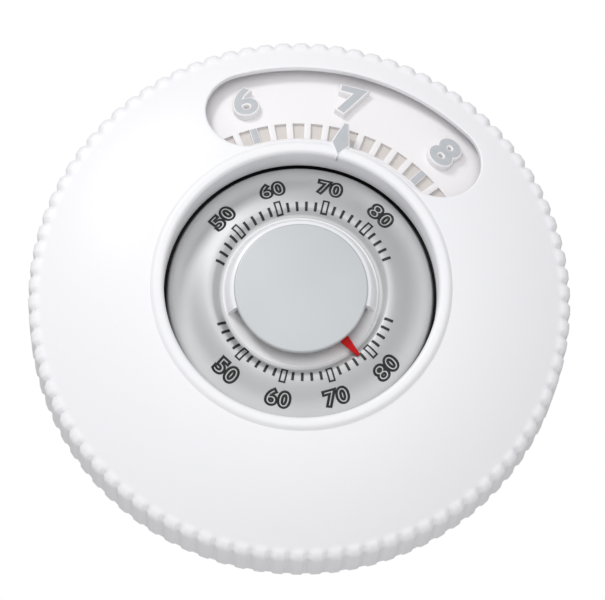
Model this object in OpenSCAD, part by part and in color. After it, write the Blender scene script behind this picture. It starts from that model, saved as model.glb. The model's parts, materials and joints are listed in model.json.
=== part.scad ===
// Round wall thermostat with a turning outer ring, a fixed dial and a bimetal thermometer.
// It hangs on a wall: X runs right, Y runs into the wall and Z runs up.
// The origin is on the wall face, on the axis of the dial. All sizes are in millimetres.
// Each piece is drawn as seen from the front, x right, y up and z out of the wall, and then stood up.
// Angles on the dial are counted clockwise from the top, as on a clock.

/* [Set ring] */
// Radius of the fluted rim
rim_r = 67.5; // [67:0.1:68.5]
// Height of the rim's back edge above the wall
rim_back = 5; // [4:0.5:5.4]
// Radius where the dome meets the rim's rounded edge
dome_out_r = 64.8; // [64.5:0.1:65]
// Height of the dome above the wall at that edge
dome_out_z = 21.8; // [21:0.1:22.5]
// Radius where the dome meets the collar round the dial
dome_in_r = 37.3; // [37:0.1:37.6]
// Height of the dome above the wall at the collar
dome_in_z = 31; // [30:0.1:31.5]
// How far the dome bulges over a straight cone
dome_crown = 1.2; // [0.5:0.1:1.6]
// Radius of the round hole that shows the dial
lip_r = 33.9; // [33.8:0.1:34.2]
// Height of the collar above the wall
lip_z = 32; // [31.8:0.1:32.5]
// Wall thickness of the ring
ring_wall = 2.3; // [2:0.1:2.5]
// Number of finger flutes round the rim
flute_count = 90; // [60:1:90]
// Depth of a flute
flute_depth = 0.8; // [0.5:0.1:1]
// Width of a flute at the rim's surface
flute_w = 2.7; // [2:0.1:3]

/* [Window] */
// Radius of the line down the middle of the window
window_r = 48.6; // [48.5:0.1:49]
// Half the width of the window, and the radius of its round ends
window_half_w = 10.7; // [10:0.1:10.8]
// Angle from the pointer to the centre of each round end
window_reach = 30.5; // [26:0.5:32]
// Temperature that the ring is set to, in degrees Fahrenheit
set_temp = 70.5; // [60:0.5:80]

/* [Temperature scale] */
// Degrees of turn for each degree Fahrenheit
turn_per_degree = 3; // [3:0.1:3]
// Depth of the scale plate below the dome
scale_drop = 4.8; // [4.7:0.1:5.2]
// Small turn of the scale plate that sets it true
scale_trim = 1; // [-2:0.5:2]
// Height of a raised numeral
digit_h = 9.2; // [8:0.1:9.4]
// How far a numeral stands above the plate
digit_rise = 1.9; // [1:0.1:2]
// Depth of the pockets between the scale ribs
pocket_depth = 0.8; // [0.4:0.1:1]

/* [Dial] */
// Radius of the dial's outer edge
dial_r = 33.1; // [32.5:0.1:33.2]
// Height of the dial's crest above the wall
dial_crest = 25.7; // [25.4:0.1:25.9]
// Height of the dial's outer edge above the wall
dial_edge = 21.3; // [21:0.1:21.8]
// Radius of the flat hub face
hub_r = 16.6; // [16:0.1:16.8]
// Height of the hub face above the wall
hub_z = 28.5; // [28.2:0.1:29]
// Half the angle of the opening that the red pointer moves in
slot_half = 73.5; // [70:0.5:75]

/* [Thermometer] */
// Reach of the red pointer's tip from the axis
pointer_reach = 21.9; // [20.5:0.1:22.2]
// Room temperature that it shows, in degrees Fahrenheit
room_temp = 78; // [60:0.5:84]
// Turns of the bimetal coil
coil_turns = 4; // [3:1:4]

/* [Gear train] */
// Size of the gear teeth
gear_module = 0.6; // [0.6:0.1:0.6]
// Teeth on the ring's gear
ring_teeth = 48; // [48:1:48]
// Teeth on the sensor's pinion
pinion_teeth = 25; // [25:1:25]
// Amount taken off each tooth for play
tooth_play = 0.12; // [0.08:0.01:0.2]

/* [Wall mount] */
// Radius of the wall plate
plate_r = 43; // [42:0.5:44]
// Thickness of the wall plate
plate_t = 2.5; // [2:0.1:3]
// Distance between the two wall screws
screw_spacing = 60; // [58:1:62]
// Radius of a wall screw's hole
screw_hole_r = 2.2; // [2:0.1:2.5]
// Width of the opening for the wires
wire_w = 24; // [20:1:26]
// Height of the opening for the wires
wire_h = 16; // [12:1:18]

/* [Hidden] */
$fn = 96;

// Play between a shaft and its bore
running_gap = 0.05;
// A small length that cutters stand past a face
past = 0.5;

// Set ring: the inside radius of the rim, and the rounded corner between dome and rim
rim_in_r = rim_r - ring_wall;
corner_x = rim_r - dome_out_r;
corner_y = 2.4;
flute_cut_r = (flute_w * flute_w / 4 + flute_depth * flute_depth) / (2 * flute_depth);
// The ring clips over the drive ring with a tube inside and a skirt outside
tube_z = 22.4;
tube_out_r = lip_r + 1.4;
skirt_in_r = 35.9;
skirt_out_r = 37.4;
skirt_z = 18.5;
groove_top = 27;

// Angles on the scale: 65 degrees Fahrenheit is at the top
mid_temp = 65;
low_temp = 40;
high_temp = 90;
set_angle = (set_temp - mid_temp) * turn_per_degree;
room_angle = 180 - (room_temp - mid_temp) * turn_per_degree;

// Scale plate
scale_in_r = 38.1;
scale_out_r = 64;
scale_t = 1.5;
rib_in_r = 39.8;
rib_out_r = 44.2;
rib_w = 1.7;
rib_step = 2;
digit_r = 51.6;
digit_stroke = 2.5;
scale_screw_at = 55;
boss_r = 2.6;
boss_top = 19.9;

// Chassis: a wide shallow disc with a hollow pillar that the ring turns on
chassis_r = 64;
floor_back = 8;
floor_front = 9.6;
pillar_r = 11;
pillar_in_r = 7.5;
pillar_top = 19.7;
rib_back = 5.6;

// Circuit board
board_r = 31.5;
board_in_r = 11.8;
board_back = 10.8;
board_front = 12.4;
board_screw_r = 1.1;
board_screw_at = [[28, 20], [28, 140], [28, 290]];

// Drive ring
gear_back = 14.8;
web_back = 17.8;
web_front = 19.4;
drive_rim_in_r = 34.2;
drive_rim_r = 35.8;
flange_in_r = 32.7;
flange_r = 36.6;
flange_back = 16.2;
scallop_r = 1.2;
scallop_depth = 0.5;
lug_back = 13.4;
lug_in_r = 32.4;
lug_out_r = 35.6;
lug_half = 4;
stop_play = 0.6;
leaf_r = 37.45;
leaf_t = 0.3;
leaf_bump = 0.45;

// Gears
ring_pitch_r = gear_module * ring_teeth / 2;
pinion_pitch_r = gear_module * pinion_teeth / 2;
gear_distance = ring_pitch_r + pinion_pitch_r;
pressure_angle = 20;
pinion_dir = 225;
pinion_back = 14.9;
pinion_front = 17.5;
shaft_r = 2;

// Dial, its floor and the screws that hold it
dial_floor_back = 20.9;
dial_floor_front = 22.4;
slot_r = 19.1;
groove_r = 20.4;
dial_t = 1.3;
ramp_r = 16.5;
// Radius and fall below the crest along the dial's front, from the groove out over the crest and the dish
dial_dish = [[slot_r + 0.2, 1.25], [19.7, 1.3], [20.2, 1.2], [20.7, 0.85], [21.2, 0.45], [22, 0.1],
    [22.6, 0.15], [23.5, 0.7], [24.5, 1.35], [25.5, 1.8], [27, 2], [30, 2], [31.2, 2.4], [32.3, 3.2],
    [dial_r, dial_crest - dial_edge]];
dial_screw_r = 0.9;
dial_head_r = 1.9;
dial_screw_circle = 9.2;
retainer_r = 14;

// Thermometer
post_r = 2.1;
post_top = 25.5;
pin_r = 1;
coil_strip = 0.5;
coil_back = 22.8;
coil_front = 25.2;
coil_in_r = 2.6;
coil_out_r = 9.2;
pointer_back = 25.8;
pointer_front = 26.5;

// Wall plate, terminals and the screws that hold the thermostat to it
captive_at = 35;
captive_r = 1.4;
terminal_x = [-9, 0, 9];
pin_y = -25;
terminal_screw_y = -20.5;

// Stands a piece drawn from the front upright against the wall
module front() {
    rotate([90, 0, 0]) children();
}

// Places its child at a radius and a clockwise angle from the top
module polar(r, t) {
    rotate([0, 0, -t]) translate([0, r, 0]) children();
}

// A pipe round the dial's axis
module tube(r_out, r_in, z0, z1) {
    translate([0, 0, z0]) difference() {
        cylinder(r = r_out, h = z1 - z0);
        translate([0, 0, -past]) cylinder(r = r_in, h = z1 - z0 + 2 * past);
    }
}

// A piece of a pipe between two clockwise angles
module sector(r_in, r_out, t0, t1, z0, z1) {
    rotate([0, 0, 90 - t1])
        rotate_extrude(angle = t1 - t0)
            translate([r_in, z0]) square([r_out - r_in, z1 - z0]);
}

// A block standing on z0, centred on its place
module block(w, d, z0, z1) {
    translate([-w / 2, -d / 2, z0]) cube([w, d, z1 - z0]);
}

// A pan-head screw along z, its shank from z0 to z1 and its head on top
module screw(r, z0, z1, head_r, head_h, slot_w = 0.6) {
    difference() {
        union() {
            translate([0, 0, z0]) cylinder(r = r, h = z1 - z0);
            translate([0, 0, z1]) cylinder(r = head_r, h = head_h);
        }
        translate([0, 0, z1 + head_h * 0.5]) block(slot_w, head_r * 1.5, 0, head_h);
        translate([0, 0, z1 + head_h * 0.5]) block(head_r * 1.5, slot_w, 0, head_h);
    }
}

// Height of the dome's outer face at a radius
function dome_z(r) = let (u = (r - dome_in_r) / (dome_out_r - dome_in_r))
    dome_in_z + (dome_out_z - dome_in_z) * u + 4 * dome_crown * u * (1 - u);

// Slope of the dome at a radius, in degrees
function dome_slope(r) = atan((dome_z(r - 1) - dome_z(r + 1)) / 2);

// Points along the dome between two radii, lowered by a drop
function dome_line(r0, r1, drop, steps = 8) =
    [for (i = [0:steps]) let (r = r0 + (r1 - r0) * i / steps) [r, dome_z(r) - drop]];

// Points of an ellipse's arc
function arc(cx, cy, a, b, from, to, steps) =
    [for (i = [0:steps]) let (f = from + (to - from) * i / steps) [cx + a * cos(f), cy + b * sin(f)]];

// Half the angle of a gear tooth at a radius, for an involute flank
function involute(a) = tan(a) * 180 / PI - a;
function tooth_half(teeth, r) = let (
        pitch = gear_module * teeth / 2,
        base = pitch * cos(pressure_angle),
        at_pitch = 90 / teeth - tooth_play / (2 * pitch) * 180 / PI)
    at_pitch + involute(pressure_angle) - involute(acos(min(1, base / max(r, base))));

// Outline of a spur gear with a tooth centred on the given direction
module gear_outline(teeth, phase) {
    pitch = gear_module * teeth / 2;
    root = pitch - 1.25 * gear_module;
    tip = pitch + gear_module;
    radii = [root, pitch - 0.6 * gear_module, pitch, pitch + 0.5 * gear_module, tip];
    polygon([for (i = [0:teeth - 1]) let (mid = phase + i * 360 / teeth)
        for (j = [0:2 * len(radii) - 1])
            let (k = j < len(radii) ? j : 2 * len(radii) - 1 - j,
                side = j < len(radii) ? -1 : 1,
                f = mid + side * tooth_half(teeth, radii[k]))
            radii[k] * [cos(f), sin(f)]]);
}

// Points of a circle's arc about a centre given by radius and clockwise angle, in dial angles
function dial_arc(r, t, arc_r, from, to, steps) =
    [for (i = [0:steps]) let (f = from + (to - from) * i / steps)
        [r * sin(t) + arc_r * sin(f), r * cos(t) + arc_r * cos(f)]];

// The window's outline: a bent slot with round ends
module window_outline() {
    polygon(concat(
        dial_arc(0, 0, window_r + window_half_w, -window_reach, window_reach, 24),
        dial_arc(window_r, window_reach, window_half_w, window_reach + 12, window_reach + 168, 13),
        dial_arc(0, 0, window_r - window_half_w, window_reach, -window_reach, 20),
        dial_arc(window_r, -window_reach, window_half_w, -window_reach - 168, -window_reach - 12, 13)));
}

// A bar with round ends
module pill(w, h) {
    square([w - h + 0.001, h], center = true);
    for (side = [-1, 1]) translate([side * (w - h) / 2, 0]) circle(r = h / 2);
}

// The four wide numerals, each centred on its place
module digit_five() {
    w = 0.8 * digit_h;
    bowl = 0.6 * digit_h;
    top = digit_h / 2;
    difference() {
        translate([0, bowl / 2 - top]) pill(w, bowl);
        translate([-0.1 * w, bowl / 2 - top]) pill(w - digit_stroke * 1.4, bowl - 1.6 * digit_stroke);
        translate([-w, bowl / 2 - top - 0.3]) square([w * 0.8, bowl * 0.3]);
    }
    translate([-w / 2, top - digit_stroke * 0.9]) square([w, digit_stroke * 0.9]);
    translate([-w / 2, bowl * 0.5 - top + 1.1]) square([digit_stroke, digit_h - bowl * 0.5 - 1.1]);
}

module digit_six() {
    w = 0.85 * digit_h;
    bowl = 0.62 * digit_h;
    top = digit_h / 2;
    difference() {
        union() {
            translate([0, bowl / 2 - top]) pill(w, bowl);
            difference() {
                translate([0, 0]) circle(r = top);
                circle(r = top - digit_stroke * 0.8);
                translate([0, -digit_h]) square([digit_h, 1.2 * digit_h]);
                translate([-digit_h, -digit_h * 1.1]) square([2 * digit_h, digit_h]);
            }
        }
        translate([0, bowl / 2 - top]) pill(0.3 * w, 0.16 * digit_h);
    }
}

module digit_seven() {
    w = 0.95 * digit_h;
    top = digit_h / 2;
    translate([-w / 2, top - digit_stroke]) square([w, digit_stroke]);
    polygon([[w / 2, top - digit_stroke], [w / 2 - 1.35 * digit_stroke, top - digit_stroke],
        [-0.3 * w, -top], [-0.3 * w + 1.15 * digit_stroke, -top]]);
}

module digit_eight() {
    w = 0.85 * digit_h;
    low = 0.56 * digit_h;
    high = 0.52 * digit_h;
    top = digit_h / 2;
    difference() {
        union() {
            translate([0, low / 2 - top]) pill(w, low);
            translate([0, top - high / 2]) pill(0.86 * w, high);
        }
        translate([0, low / 2 - top]) circle(r = 0.09 * digit_h);
        translate([0, top - high / 2]) circle(r = 0.08 * digit_h);
    }
}

// The pointer moulded on the window's lower edge, seen from the front with its tip up
module set_pointer() {
    tip_r = 44.1;
    corner_r = 38.4;
    foot_r = 34.4;
    half_w = 2.2;
    tip_half = 0.55;
    tilt = atan((dome_z(corner_r) - dome_z(tip_r)) / (tip_r - corner_r));
    translate([0, foot_r, lip_z - 0.1]) rotate([-tilt, 0, 0]) translate([0, -foot_r, -2.4])
        linear_extrude(2.4)
            polygon([[-tip_half, tip_r], [tip_half, tip_r], [half_w, corner_r], [0, foot_r],
                [-half_w, corner_r]]);
}

module set_ring() color("#f2f2f4") front() {
    difference() {
        rotate_extrude() polygon(concat(
            [[rim_in_r, rim_back], [rim_r, rim_back]],
            arc(dome_out_r, dome_out_z - corner_y, corner_x, corner_y, 0, 72, 5),
            dome_line(dome_out_r, dome_in_r, 0),
            arc(dome_in_r - 1.5, lip_z - 1.6, 1.5, 1.6, 60, 90, 2),
            arc(lip_r + 1, lip_z - 1, 1, 1, 90, 180, 4),
            [[lip_r, tube_z], [tube_out_r, tube_z], [tube_out_r, groove_top],
                [skirt_in_r, groove_top], [skirt_in_r, skirt_z], [skirt_out_r, skirt_z]],
            dome_line(skirt_out_r, dome_out_r - 1, ring_wall),
            [[rim_in_r, dome_out_z - corner_y - 1]]));
        for (i = [0:flute_count - 1]) polar(0, i * 360 / flute_count) {
            translate([0, rim_r - flute_depth + flute_cut_r, rim_back - past])
                cylinder(r = flute_cut_r, h = dome_out_z - corner_y - rim_back + 1.2);
            translate([0, dome_out_r, dome_out_z - corner_y])
                rotate([45, 0, 0])
                    translate([0, 3.05 - flute_depth + flute_cut_r, 0])
                        cylinder(r = flute_cut_r, h = 7, center = true);
        }
        rotate([0, 0, -set_angle]) translate([0, 0, rim_back + 12])
            linear_extrude(lip_z) window_outline();
    }
    rotate([0, 0, -set_angle]) difference() {
        set_pointer();
        translate([0, 0, rim_back]) cylinder(r = lip_r, h = lip_z);
    }
}

// Snaps into the back of the set ring and carries its gear, its click scallops and its stop lug
module drive_ring() color("#2c2c2e") front() {
    difference() {
        union() {
            translate([0, 0, gear_back]) linear_extrude(web_back - gear_back)
                gear_outline(ring_teeth, 90 - pinion_dir);
            translate([0, 0, web_back]) cylinder(r = drive_rim_r, h = web_front - web_back);
        }
        translate([0, 0, gear_back - past])
            cylinder(r = pillar_r + running_gap, h = web_front - gear_back + 2 * past);
    }
    tube(drive_rim_r, drive_rim_in_r, web_front - past, tube_z);
    difference() {
        tube(flange_r, flange_in_r, flange_back, web_back + past);
        for (i = [0:59]) polar(flange_r - scallop_depth + scallop_r, set_angle + i * 6)
            translate([0, 0, flange_back - past]) cylinder(r = scallop_r, h = 3);
    }
    sector(lug_in_r, lug_out_r, set_angle + 180 - lug_half, set_angle + 180 + lug_half,
        lug_back, flange_back + past);
}

// Holds the drive ring down on its pillar
module retainer() color("#b9bcc0") front() {
    difference() {
        tube(retainer_r, pillar_in_r, pillar_top, dial_floor_back);
        dial_screw_holes(dial_screw_r + 0.1);
    }
}

module dial_screw_holes(r) {
    for (t = [0, 120, 240]) polar(dial_screw_circle, t)
        translate([0, 0, floor_front]) cylinder(r = r, h = 20);
}

module dial_screws() color("#a9abae") front() {
    for (t = [0, 120, 240]) polar(dial_screw_circle, t)
        screw(dial_screw_r, 12, dial_floor_front - 1.1, dial_head_r - 0.1, 1);
}

// The fixed plate with the scale: an arched ring on two skirts, with raised ribs and numerals
module scale_plate() color("#ececee") front() {
    difference() {
        rotate_extrude() polygon(concat(
            [[scale_in_r, floor_front]],
            dome_line(scale_in_r, scale_out_r, scale_drop),
            [[scale_out_r, floor_front], [scale_out_r - scale_t, floor_front]],
            dome_line(scale_out_r - scale_t, scale_in_r + scale_t, scale_drop + scale_t),
            [[scale_in_r + scale_t, floor_front]]));
        rotate([0, 0, -scale_trim]) difference() {
            scale_band();
            for (temp = [low_temp:rib_step:high_temp])
                rotate([0, 0, -(temp - mid_temp) * turn_per_degree]) scale_rib(temp);
        }
    }
    for (t = [90, 210, 330]) polar(scale_screw_at, t) difference() {
        translate([0, 0, floor_front]) cylinder(r = boss_r, h = boss_top - floor_front);
        translate([0, 0, floor_front - past]) cylinder(r = 1.2, h = 6);
    }
    place_digit(50) digit_five();
    place_digit(60) digit_six();
    place_digit(70) digit_seven();
    place_digit(80) digit_eight();
}

// The sunk band that the ribs stand in, as deep as the pockets
module scale_band() {
    from = (low_temp - mid_temp) * turn_per_degree;
    to = (high_temp - mid_temp) * turn_per_degree;
    rotate([0, 0, 90 - to]) rotate_extrude(angle = to - from) polygon(concat(
        dome_line(rib_in_r, rib_out_r, scale_drop + pocket_depth, 2),
        [[rib_out_r, dome_in_z], [rib_in_r, dome_in_z]]));
}

// One rib of the scale, wider at each ten degrees
module scale_rib(temp) {
    w = temp % 10 == 0 ? 1.2 * rib_w : rib_w;
    translate([0, (rib_in_r + rib_out_r) / 2, 0]) block(w, rib_out_r - rib_in_r + 1, 15, 32);
}

module place_digit(temp) {
    rotate([0, 0, -(temp - mid_temp) * turn_per_degree - scale_trim])
        translate([0, digit_r, dome_z(digit_r) - scale_drop])
            rotate([-dome_slope(digit_r), 0, 0])
                translate([0, 0, -0.5]) linear_extrude(digit_rise + 0.5) children();
}

module scale_screws() color("#a9abae") front() {
    for (t = [90, 210, 330]) polar(scale_screw_at, t) rotate([180, 0, 0])
        screw(1.1, -14.5, -floor_back, 2.2, 1.3);
}

// Wide disc with stiffening ribs at the back, a pillar for the ring and feet for the board
module chassis() color("#e4e5e7") front() {
    difference() {
        union() {
            translate([0, 0, floor_back]) cylinder(r = chassis_r, h = floor_front - floor_back);
            translate([0, 0, floor_back]) cylinder(r = pillar_r, h = pillar_top - floor_back);
            tube(chassis_r, chassis_r - 1.4, rib_back, floor_back);
            tube(46.4, 45, rib_back, floor_back);
            for (i = [0:11]) polar(54.5, 15 + 30 * i) block(1.3, 17, rib_back, floor_back);
            for (p = board_screw_at) polar(p[0], p[1])
                translate([0, 0, floor_back]) cylinder(r = 2.4, h = board_back - floor_back);
        }
        translate([0, 0, floor_front]) cylinder(r = pillar_in_r, h = pillar_top);
        dial_screw_holes(dial_screw_r + 0.05);
        for (p = board_screw_at) polar(p[0], p[1])
            translate([0, 0, floor_back - past]) cylinder(r = board_screw_r + 0.05, h = 8);
        for (side = [-1, 1]) translate([0, side * captive_at, floor_back - past])
            cylinder(r = captive_r + 0.2, h = 3);
        for (t = [90, 210, 330]) polar(scale_screw_at, t)
            translate([0, 0, floor_back - past]) cylinder(r = 1.3, h = 3);
        translate([0, pin_y, 0]) block(24, 4.4, floor_back - past, floor_front + past);
        for (i = [0:11], r = [49, 53, 57]) if (i % 4 != 3)
            sector(r, r + 2, 30 * i - 7, 30 * i + 7, floor_back - past, floor_front + past);
    }
    for (side = [-1, 1]) stop_post(180 + side * (75 + 2 * lug_half + stop_play));
    sector(36.4, 37.4, 296, 304, floor_back + past, 15.5);
}

// A stop that the drive ring's lug meets at the end of its travel
module stop_post(t) {
    sector(lug_in_r, lug_out_r, t - lug_half, t + lug_half, floor_back + past, flange_back - 0.4);
}

// A leaf on a foot, with a bump that clicks over the drive ring's scallops
module detent_spring() color("#c9cccf") front() {
    translate([0, 0, flange_back]) linear_extrude(web_back - 0.1 - flange_back) polygon(concat(
        dial_arc(0, 0, leaf_r + leaf_t, 296, 330, 17), dial_arc(0, 0, leaf_r, 330, 328, 1),
        dial_arc(0, 0, leaf_r - leaf_bump, 327, 326, 1), dial_arc(0, 0, leaf_r, 324, 296, 14)));
    translate([0, 0, floor_front]) linear_extrude(flange_back + past - floor_front) polygon(concat(
        dial_arc(0, 0, leaf_r + leaf_t, 296, 304, 4), dial_arc(0, 0, leaf_r, 304, 296, 4)));
}

module captive_screws() color("#a9abae") front() {
    for (side = [-1, 1]) translate([0, side * captive_at, 0])
        screw(captive_r, 3, floor_front, 2.4, 1.5);
}

module wall_plate() color("#dcdddf") front() {
    difference() {
        union() {
            cylinder(r = plate_r, h = plate_t);
            tube(plate_r, plate_r - 1.8, 0, 7);
            for (side = [-1, 1]) translate([0, side * captive_at, 0])
                cylinder(r = 3.4, h = floor_back - 0.2);
        }
        block(wire_w, wire_h, -past, plate_t + past);
        for (side = [-1, 1]) {
            translate([side * screw_spacing / 2, 0, -past])
                cylinder(r = screw_hole_r, h = plate_t + 2 * past);
            translate([0, side * captive_at, -past]) cylinder(r = captive_r + 0.05, h = 10);
        }
    }
}

module terminal_block() color("#3a3b3d") front() {
    difference() {
        translate([0, -23, 0]) block(30, 13, plate_t, 7.2);
        for (x = terminal_x) {
            translate([x, terminal_screw_y, 4.6]) cylinder(r = 1.4, h = 4);
            translate([x, terminal_screw_y, 5.4]) cylinder(r = 2.4, h = 4);
            translate([x, pin_y, 0]) block(5.4, 4, 3.6, 8);
            translate([x, terminal_screw_y + 2, 3.9]) rotate([-90, 0, 0]) cylinder(r = 0.9, h = 4);
        }
    }
}

module terminal_screws() color("#c8a85a") front() {
    for (x = terminal_x) translate([x, terminal_screw_y, 0]) screw(1.3, 4.7, 5.9, 2.2, 1.2);
}

// Two spring leaves in each terminal that the thermostat's pins push between
module terminal_clips() color("#c8a85a") front() {
    for (x = terminal_x, side = [-1, 1])
        translate([x + side * 1.3, pin_y, 0]) block(0.5, 3, 3.7, 7.4);
}

module contact_pins() color("#c8a85a") front() {
    for (x = terminal_x) translate([x, pin_y, 0]) {
        block(1.6, 0.8, 4.4, board_back);
        block(2.6, 1.8, board_front, board_front + 0.8);
    }
}

module circuit_board() color("#2f6b45") front() {
    difference() {
        tube(board_r, board_in_r, board_back, board_front);
        for (p = board_screw_at) polar(p[0], p[1])
            translate([0, 0, board_back - past]) cylinder(r = board_screw_r + 0.15, h = 4);
    }
}

module board_screws() color("#a9abae") front() {
    for (p = board_screw_at) polar(p[0], p[1]) screw(board_screw_r, floor_back, board_front, 2, 1.2);
}

module relay() color("#1f5f9c") front() {
    translate([24, 0, 0]) block(9, 14, board_front, 17.4);
}

module capacitor() color("#26272c") front() {
    polar(24, 50) translate([0, 0, board_front]) {
        cylinder(r = 3.2, h = 4.4);
        cylinder(r = 2.9, h = 4.8);
    }
}

// Flat package with its leads along all four sides
module control_chip() color("#1d1e20") front() {
    polar(21.5, 315) {
        block(9, 9, board_front + 0.2, board_front + 1.6);
        for (a = [0:90:270], i = [-3:3]) rotate([0, 0, a])
            translate([i * 1.1, 5.1, 0]) block(0.5, 1.2, board_front, board_front + 0.5);
    }
}

module resistors() color("#3b3c40") front() {
    for (i = [-3:2]) polar(25, i * 6 + 2) block(1.3, 3.2, board_front, board_front + 0.7);
    for (i = [0:3]) polar(19, 172 + i * 9) block(1.3, 2.4, board_front, board_front + 0.7);
}

// Glass bead on two legs near the edge of the board
module thermistor() color("#8a3b2e") front() {
    polar(29, 118) {
        translate([0, 0, board_front + 3]) sphere(r = 1.3);
        for (side = [-1, 1]) translate([side * 0.6, 0, board_front]) cylinder(r = 0.25, h = 2.6);
    }
}

module potentiometer_body() color("#4b4d52") front() {
    polar(gear_distance, pinion_dir) difference() {
        block(11, 11, board_front, board_front + 2.2);
        translate([0, 0, board_front + 0.4]) cylinder(r = shaft_r + running_gap, h = 4);
    }
}

module potentiometer_shaft() color("#e9e4d4") front() {
    polar(gear_distance, pinion_dir) translate([0, 0, board_front + 0.5])
        cylinder(r = shaft_r, h = pinion_front - board_front - 0.4);
}

module pinion() color("#e9e4d4") front() {
    direction = 90 - pinion_dir;
    difference() {
        translate(gear_distance * [cos(direction), sin(direction), 0])
            translate([0, 0, pinion_back]) linear_extrude(pinion_front - pinion_back)
                gear_outline(pinion_teeth, direction + 180 + 180 / pinion_teeth);
        polar(gear_distance, pinion_dir) translate([0, 0, board_front]) cylinder(r = shaft_r, h = 8);
    }
}

// Height of the ramp inside the dial's groove, which the hub cap's foot stands on
function ramp_z(r) = dial_crest - 1.3 - 0.3 * (slot_r - r);

// The silver dial: a floor on the pillar and a rounded ring with the printed scale
module dial_plate() color("#c9cacb") front() {
    difference() {
        rotate_extrude() polygon(concat(
            [[0, dial_floor_back], [groove_r, dial_floor_back], [groove_r, dial_crest - 2.4]],
            [for (p = dial_dish) if (p[0] > 22 && p[0] < dial_r - dial_t)
                [p[0], dial_crest - dial_t - p[1]]],
            [[dial_r - dial_t, dial_edge - 0.2], [dial_r - dial_t, dial_edge - 1.1],
                [dial_r, dial_edge - 1.1]],
            [for (i = [len(dial_dish) - 1:-1:0]) [dial_dish[i][0], dial_crest - dial_dish[i][1]]],
            [[slot_r, ramp_z(slot_r)], [ramp_r, ramp_z(ramp_r)], [14, dial_floor_front],
                [0, dial_floor_front]]));
        dial_screw_holes(dial_screw_r + 0.1);
        for (t = [0, 120, 240]) polar(dial_screw_circle, t)
            translate([0, 0, dial_floor_front - 1.1]) cylinder(r = dial_head_r, h = 3);
    }
}

// Post riveted to the dial's floor: the coil's inner end is held on it and the pointer turns on its pin
module coil_post() color("#c8a85a") front() {
    translate([0, 0, dial_floor_front]) cylinder(r = post_r, h = post_top - dial_floor_front);
    translate([0, 0, post_top]) cylinder(r = pin_r, h = 1.3);
}

// Flat strip wound in a spiral
module bimetal_coil() color("#b08d57") front() {
    steps = 24 * coil_turns;
    start = room_angle;
    pitch = (coil_out_r - coil_in_r) / steps;
    inner = [for (i = [0:steps]) let (r = coil_in_r + pitch * i - coil_strip / 2, f = i * 15 - start)
        r * [cos(f), sin(f)]];
    outer = [for (i = [steps:-1:0]) let (r = coil_in_r + pitch * i + coil_strip / 2, f = i * 15 - start)
        r * [cos(f), sin(f)]];
    translate([0, 0, coil_back]) linear_extrude(coil_front - coil_back) polygon(concat(inner, outer));
}

module red_pointer() color("#c8232c") front() {
    rotate([0, 0, -room_angle]) difference() {
        union() {
            translate([0, 0, pointer_back]) cylinder(r = 3, h = pointer_front - pointer_back);
            translate([0, 0, pointer_back]) linear_extrude(pointer_front - pointer_back)
                polygon([[-1.5, 0], [1.5, 0], [1.15, hub_r], [0.4, pointer_reach],
                    [-0.4, pointer_reach], [-1.15, hub_r]]);
            translate([0, 10.4, coil_back + 0.5]) cylinder(r = 0.4, h = pointer_back - coil_back);
        }
        translate([0, 0, pointer_back - past]) cylinder(r = pin_r + running_gap, h = 2);
    }
}

// Round face with a sloping flank, cut away below where the red pointer looks out
module hub_cap() color("#d2d4d6") front() {
    face_back = hub_z - 1.4;
    translate([0, 0, face_back]) cylinder(r = hub_r, h = hub_z - face_back);
    from = slot_half - 180;
    rotate([0, 0, 90 + from]) rotate_extrude(angle = -2 * from)
        polygon([[hub_r - 1.2, hub_z - 0.3], [hub_r - 0.2, hub_z - 0.3], [18.5, 25.6],
            [slot_r - 0.15, ramp_z(slot_r - 0.15)], [17.3, ramp_z(17.3)], [16.8, 25.4],
            [hub_r - 1.2, face_back]]);
}

wall_plate();
terminal_block();
terminal_clips();
terminal_screws();
chassis();
captive_screws();
circuit_board();
board_screws();
contact_pins();
relay();
capacitor();
control_chip();
resistors();
thermistor();
potentiometer_body();
potentiometer_shaft();
pinion();
drive_ring();
retainer();
dial_screws();
detent_spring();
scale_plate();
scale_screws();
set_ring();
dial_plate();
coil_post();
bimetal_coil();
red_pointer();
hub_cap();
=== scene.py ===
"""Looks of a round wall thermostat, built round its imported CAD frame.

Every new piece is drawn in millimetres as seen from the front, x right, y up and z out of the wall,
and is then stood up and scaled to metres. Angles on the dial are clock angles: they start at the top
and run clockwise.
"""

from __future__ import annotations

import json
import logging
from dataclasses import dataclass, field
from enum import Enum
from functools import partial
from math import atan, atan2, cos, degrees, hypot, pi, radians, sin
from typing import Any, Callable, Sequence

import bmesh
import bpy
from bmesh import ops
from bmesh.types import BMEdge, BMesh, BMFace, BMVert
from bpy.types import Material, Node, NodeSocket, NodeTree, Object
from mathutils import Matrix, Vector

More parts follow.
